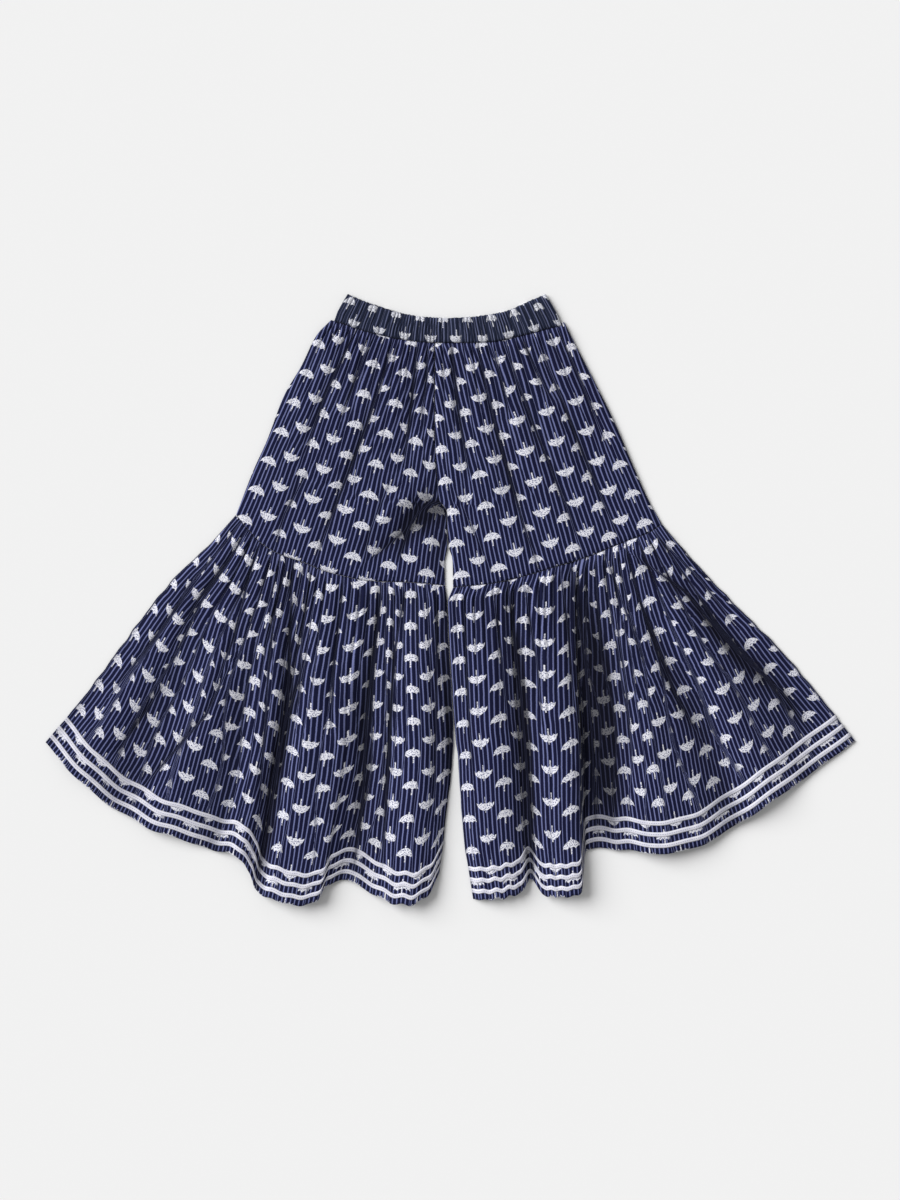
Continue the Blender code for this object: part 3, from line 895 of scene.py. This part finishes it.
def flounce(side, top, folds, near, far, creases, step_share, seed):
    across = np.linspace(0, 1, FLOUNCE_COLUMNS + 1)
    down = np.linspace(0, 1, FLOUNCE_ROWS + 1) ** 1.12
    hem, shares = hem_of(folds)
    flat = plan(across, down, top, hem, near, far, shares)
    s, t = np.meshgrid(across, down)
    flat = puckered(flat, s, t, seed)
    height, hidden, pinch, painted_shade = creased(flounce_height(s, t, folds, seed), flat, creases)
    height = height + seam_dip(s, t * 330) + side_dip(s, 330)
    height = off_the_back(FRONT_OUTER + height)
    points = lay(flat, height)
    steps = true_steps(points)
    shown = summed(steps)
    cut_width = HEM_FULLNESS * shown[-1, -1]
    base = np.broadcast_to(cut_width * shown[-1] / shown[-1, -1], s.shape)
    line = gather_line(drifted(s, t, seed), KNEE_GATHERS, WANDER)
    cloth, dark = hide_cloth(base, steps, line)
    upward = level_rows(from_hem(points), step_share)
    # Pinch hides the motif and paints shade on the hidden lines; hollow is painted shade in valleys
    # and troughs.
    marks = {"pinch": np.maximum(dark, pinch), "hollow": shade_of(height, 7, 22) + painted_shade}
    piece = lay_wall(
        f"flounce_{side}", points, np.stack([cloth + hidden, upward], axis=-1), marks,
        (right_side, wrong_side),
    )
    length = float(upward[0].mean())
    print("  cut", round(cut_width), "by", round(length), "mm, area", surface_area(points))
    settle(piece, f"flounce_front_{side}")
    # The painted shade that the tapes take on where they cross the folds.
    painted_shade = np.clip(marks["hollow"] + 0.8 * pinch, 0, 1)
    return piece, points, cut_width, length, painted_shade


left_flounce, left_points, left_cut, left_length, left_painted_shade = flounce(
    "left", LEFT_KNEE, LEFT_FOLDS, LEFT_FLARE, LEFT_INNER, LEFT_FLOUNCE_CREASES, LEFT_STEP, 1.0
)
right_flounce, right_points, right_cut, right_length, right_painted_shade = flounce(
    "right", RIGHT_KNEE, RIGHT_FOLDS, RIGHT_INNER, RIGHT_FLARE, RIGHT_FLOUNCE_CREASES,
    RIGHT_STEP, 2.0,
)

# %% [markdown]
# ## The front of the upper legs
#
# Each upper leg is one flat panel, its stripes fanning out from the waist. The two panels mirror
# each other and meet in a chevron at the centre seam. The fan is measured from a point high above
# the waist, and the cloth that it has too much of at the waist goes into the ripples there.

# %% Front legs
LEG_COLUMNS = 180
LEG_ROWS = 130
FAN_RADIUS = 909.0
LEFT_FAN = Point(136, 919)
RIGHT_FAN = Point(-138, 919)


def fan(flat, centre, start):
    offset = flat - np.array(centre, float)
    angle = np.arctan2(offset[..., 0], -offset[..., 1])
    first = np.arctan2(start[0] - centre[0], centre[1] - start[1])
    return FAN_RADIUS * (angle - first), -np.linalg.norm(offset, axis=-1)


def leg(side, top, foot, near, far, creases, centre, start, seed):
    across = np.linspace(0, 1, LEG_COLUMNS + 1)
    down = np.linspace(0, 1, LEG_ROWS + 1)
    flat = plan(across, down, top, foot, near, far)
    s, t = np.meshgrid(across, down)
    height, hidden, pinch, painted_shade = creased(leg_height(s, t, seed), flat, creases)
    height = height + seam_dip(s, (1 - t) * 235) + side_dip(s, 190)
    height = off_the_back(FRONT_OUTER + height)
    points = lay(flat, height)
    base, upward = fan(flat, centre, start)
    line = gather_line(drifted(s, t, seed), WAIST_RIPPLES, 0.45)
    cloth, dark = hide_cloth(base, true_steps(points), line)
    # Pinch hides the motif and paints shade on the hidden lines; hollow is painted shade in valleys
    # and troughs.
    marks = {"pinch": np.maximum(dark, pinch), "hollow": shade_of(height, 6, 16) + painted_shade}
    piece = lay_wall(
        f"leg_{side}", points, np.stack([cloth + hidden, upward], axis=-1), marks,
        (right_side, wrong_side),
    )
    print("  area", round(surface_area(points), 4))
    settle(piece, f"leg_front_{side}")
    return piece, points


left_leg, left_leg_points = leg(
    "left", LEFT_WAIST, LEFT_KNEE, LEFT_SIDE, [*CENTRE_SEAM, *LEFT_INSEAM], LEFT_LEG_CREASES,
    LEFT_FAN, LEFT_KNEE[0], 3.0,
)
right_leg, right_leg_points = leg(
    "right", RIGHT_WAIST, RIGHT_KNEE, [*CENTRE_SEAM, *RIGHT_INSEAM], RIGHT_SIDE,
    RIGHT_LEG_CREASES, RIGHT_FAN, RIGHT_KNEE[0], 4.0,
)

# %% [markdown]
# ## The waistband
#
# The casing holds a wide elastic. Its cloth is nearly twice as long as the elastic, so it stands
# in small upright ruches, round over the elastic and pinched between. The rows of the grid follow
# the casing's section: low at the seam, full over the elastic, and turned over at the top edge.

# %% Waistband
BAND_COLUMNS = 640
BAND_ROWS = 16
BAND_LOW = 3.75
BAND_FULL = 1.0
BAND_OVERLAP = 0.9
CORNER_OVERLAP = 2.4
RUCHE_FULLNESS = 1.62
SECTION_STRETCH = 1.18
BAND_PRINT_PHASE = 26.5


def band():
    across = np.linspace(0, 1, BAND_COLUMNS + 1)
    down = np.linspace(0, 1, BAND_ROWS + 1)
    flat = plan(across, down, WAIST_TOP, WAIST_SEAM, [], [])
    s, t = np.meshgrid(across, down)
    section = (1 - np.abs(2 * t - 1) ** 3.5) ** 0.5
    drift = 0.004 * np.sin(2 * pi * 1.3 * t + 9 * s) * np.sin(pi * s)
    ruche = gathers(np.clip(s + drift, 0, 1), RUCHES, 1.7, 5.0, 0.8)
    ends = np.clip(np.minimum(s, 1 - s) * 60, 0, 1) ** 0.5
    height = BAND_LOW + section * ends * (BAND_FULL + 1.5 * ruche)
    flat = flat.copy()
    flat[..., 1] += 1.1 * (ruche - 0.5) * (1 - swell(t, 0.0, 0.35))
    corner = CORNER_OVERLAP * np.exp(-((np.minimum(s, 1 - s) / 0.035) ** 2))
    flat[..., 1] -= (BAND_OVERLAP + 0.5 * ruche + corner) * swell(t, 0.7, 1.0)
    points = lay(flat, height)
    steps = true_steps(points)
    shown = summed(steps)
    cut_width = RUCHE_FULLNESS * float(shown[BAND_ROWS // 2, -1]) / SECTION_STRETCH
    base = np.broadcast_to(cut_width * across, s.shape)
    cloth, dark = hide_cloth(base, steps, gather_line(across, RUCHES, 1.7))
    # Pinch hides the motif and paints shade between the ruches; hollow is painted shade in the
    # dips.
    marks = {"pinch": dark, "hollow": 0.5 * hollow(height, 5)}
    piece = lay_wall(
        "waistband", points, np.stack([cloth, from_hem(points) + BAND_PRINT_PHASE], axis=-1),
        marks, (casing_look, casing_look),
    )
    print("  cut", round(cut_width), "area", round(surface_area(points), 5))
    settle(piece, "waistband_front")
    return piece, points, cut_width


waistband, band_points, band_cut = band()

# %% [markdown]
# ## Three tapes on each hem
#
# Narrow white cotton tapes are sewn along each front hem, one above the other, with a strip of
# the print showing between them. A tape takes its line from the flounce under it, at a fixed
# distance from the hem, so it climbs every roll with the cloth. It is slightly domed, and a line
# of stitches holds it down the middle.

# %% White tape
def tape_look():
    look = bpy.data.materials.new("white_tape")
    look.use_nodes = True
    tree = look.node_tree
    shader = tree.nodes["Principled BSDF"]
    cloth = tree.nodes.new("ShaderNodeUVMap").outputs["UV"]
    split = tree.nodes.new("ShaderNodeSeparateXYZ")
    tree.links.new(cloth, split.inputs[0])
    along = calc(tree, "MULTIPLY", split.outputs["X"], WHOLE_MM)
    across = calc(tree, "MULTIPLY", split.outputs["Y"], WHOLE_MM)
    line = calc(tree, "ABSOLUTE", across)
    on_line = calc(tree, "SUBTRACT", 1.0, soft_step(tree, line, 0.22, 0.42))
    dash = soft_step(tree, calc(tree, "PINGPONG", along, 1.2), 0.35, 0.55)
    stitch = calc(tree, "MULTIPLY", on_line, dash)
    painted_shade = tree.nodes.new("ShaderNodeAttribute")
    painted_shade.attribute_name = "hollow"
    rib = calc(tree, "SINE", calc(tree, "MULTIPLY", calc(tree, "ADD", along, line), 2 * pi / 0.7))
    rib = calc(tree, "MULTIPLY", rib, 0.5)
    dirt = soft_step(tree, noise(tree, cloth, 90.0, 3.0), 0.35, 0.75)
    white = blended(tree, dirt, srgb(224, 223, 232), srgb(206, 206, 220))
    colour = blended(tree, stitch, white, srgb(150, 152, 176))
    # Painted shade: where the tape runs down into a fold of the flounce, its white is darkened
    # towards navy.
    shade = calc(tree, "MINIMUM", painted_shade.outputs["Fac"], 0.8)
    colour = blended(tree, shade, colour, srgb(30, 32, 50))
    tree.links.new(colour, shader.inputs["Base Color"])
    relief = calc(tree, "SUBTRACT", calc(tree, "MULTIPLY", rib, 0.4), on_line)
    relief = calc(tree, "ADD", relief, calc(tree, "MULTIPLY", stitch, 1.4))
    bump = tree.nodes.new("ShaderNodeBump")
    bump.inputs["Strength"].default_value = 0.5
    bump.inputs["Distance"].default_value = 0.00018
    tree.links.new(relief, bump.inputs["Height"])
    tree.links.new(bump.outputs["Normal"], shader.inputs["Normal"])
    shader.inputs["Roughness"].default_value = 0.8
    shader.inputs["Specular IOR Level"].default_value = 0.3
    shader.inputs["Sheen Weight"].default_value = 0.1
    return look


white_tape = tape_look()
print("tape ready")

# %% Tapes
TAPE_WIDTH = 4.6
TAPE_PITCH = 11.7
LOWEST_TAPE = 9.0
TAPE_ROWS = 6
TAPE_LOW = 0.5
TAPE_CROWN = 0.5


def at_distance(table, run, distance):
    """What a table holds at a distance from the hem, for each column."""
    result = np.empty((table.shape[1], table.shape[2]))
    for column in range(table.shape[1]):
        for part in range(table.shape[2]):
            result[column, part] = np.interp(distance, run[::-1, column], table[::-1, column, part])
    return result


def tape(side, place, index, points, painted_shade):
    centre = LOWEST_TAPE + index * TAPE_PITCH
    offsets = np.linspace(TAPE_WIDTH / 2, -TAPE_WIDTH / 2, TAPE_ROWS + 1)
    # The flounce's painted shade goes along with its points, to shade the tape where it crosses
    # folds.
    table = np.concatenate([points, painted_shade[..., None]], axis=-1)
    run = from_hem(points)
    table = np.stack([at_distance(table, run, centre + offset) for offset in offsets])
    rows = table[..., :3].copy()
    crown = 1 - (2 * np.abs(offsets) / TAPE_WIDTH) ** 2.5
    rows[..., 2] += TAPE_LOW + TAPE_CROWN * crown[:, None]
    run = np.concatenate(
        [[0.0], np.cumsum(np.linalg.norm(np.diff(rows[TAPE_ROWS // 2], axis=0), axis=-1))]
    )
    cloth = np.stack(
        [np.broadcast_to(run, rows.shape[:2]), np.broadcast_to(offsets[:, None], rows.shape[:2])],
        axis=-1,
    )
    piece = lay_wall(
        f"tape_{side}_{place}_woven", rows, cloth, {"hollow": table[..., 3]}, (white_tape,), 0.35
    )
    settle(piece, f"tape_{side}_{place}")
    return piece


left_tapes, right_tapes = [], []
for index, place in enumerate(("lower", "middle", "upper")):
    left_tapes.append(tape("left", place, index, left_points, left_painted_shade))
    right_tapes.append(tape("right", place, index, right_points, right_painted_shade))

# %% [markdown]
# ## The back of the garment
#
# The back panels lie flat on the surface under the front ones. They are the same cloth with its
# right side down, so each is laid the other way up: the print faces the surface, and the wrong
# side faces the inside of the garment.

# %% Back pieces
BACK_COLUMNS = 160
BACK_ROWS = 48
BACK_SHEET = 0.8


def back_piece(name, node, flat, cloth, marks, looks, thickness):
    points = lay(flat, np.full(flat.shape[:2], 0.0))
    piece = lay_wall(name, points, cloth, marks, looks, thickness, upward=True)
    settle(piece, node)
    return piece, surface_area(points)


def back_leg(side, top, foot, near, far, stretch, centre, start):
    across = np.linspace(*stretch, BACK_COLUMNS + 1)
    down = np.linspace(0, 1, BACK_ROWS + 1)
    flat = plan(across, down, top, foot, near, far)
    base, upward = fan(flat, centre, start)
    points = lay(flat, np.zeros(flat.shape[:2]))
    cloth, dark = hide_cloth(base, true_steps(points), gather_line(across, WAIST_RIPPLES, 0.2))
    # Pinch hides the motif on the hidden lines and paints shade there.
    marks = {"pinch": dark}
    return back_piece(
        f"leg_{side}_back", f"leg_back_{side}", flat, np.stack([cloth, upward], axis=-1), marks,
        (right_side, wrong_side), BACK_SHEET,
    )


def back_flounce(side, top, folds, near, far):
    across = np.linspace(0.005, 0.995, BACK_COLUMNS + 1)
    down = np.linspace(0, 0.985, BACK_ROWS + 1)
    hem, shares = hem_of(folds)
    flat = plan(across, down, top, hem, near, far, shares)
    points = lay(flat, np.zeros(flat.shape[:2]))
    steps = true_steps(points)
    shown = summed(steps)
    base = np.broadcast_to(shown[-1] * 1.04, flat.shape[:2])
    cloth, dark = hide_cloth(base, steps, gather_line(across, KNEE_GATHERS, 0.2))
    return back_piece(
        f"flounce_{side}_back", f"flounce_back_{side}", flat,
        np.stack([cloth, from_hem(points)], axis=-1), {"pinch": dark},
        (right_side, wrong_side), BACK_SHEET,
    )


left_leg_back, left_leg_back_area = back_leg(
    "left", LEFT_WAIST, LEFT_KNEE, LEFT_SIDE, [*CENTRE_SEAM, *LEFT_INSEAM], (0.005, 1.0),
    LEFT_FAN, LEFT_KNEE[0],
)
right_leg_back, right_leg_back_area = back_leg(
    "right", RIGHT_WAIST, RIGHT_KNEE, [*CENTRE_SEAM, *RIGHT_INSEAM], RIGHT_SIDE, (0.0, 0.995),
    RIGHT_FAN, RIGHT_KNEE[0],
)
left_flounce_back, left_flounce_back_area = back_flounce(
    "left", LEFT_KNEE, LEFT_FOLDS, LEFT_FLARE, LEFT_INNER
)
right_flounce_back, right_flounce_back_area = back_flounce(
    "right", RIGHT_KNEE, RIGHT_FOLDS, RIGHT_INNER, RIGHT_FLARE
)

# %% Back of the waistband
def back_band():
    across = np.linspace(0.005, 0.995, 2 * BACK_COLUMNS + 1)
    down = np.linspace(0, 1, 9)
    flat = plan(across, down, WAIST_TOP, WAIST_SEAM, [], [])
    points = lay(flat, np.zeros(flat.shape[:2]))
    steps = true_steps(points)
    base = np.broadcast_to(band_cut * across, flat.shape[:2])
    cloth, dark = hide_cloth(base, steps, gather_line(across, RUCHES, 0.3))
    return back_piece(
        "waistband_back_half", "waistband_back", flat,
        np.stack([cloth, from_hem(points)], axis=-1), {"pinch": dark},
        (casing_look, casing_look), 2.3,
    )


waistband_back, waistband_back_area = back_band()

# %% [markdown]
# ## What the sheets were cut to
#
# A sheet of cloth has a size before it is sewn. The flounces and the panels are cut as sectors.
# As each was laid, a flounce printed the width and length it is cut to and its area, a panel its
# area, and the band its cut width and area.

print("all pieces laid")
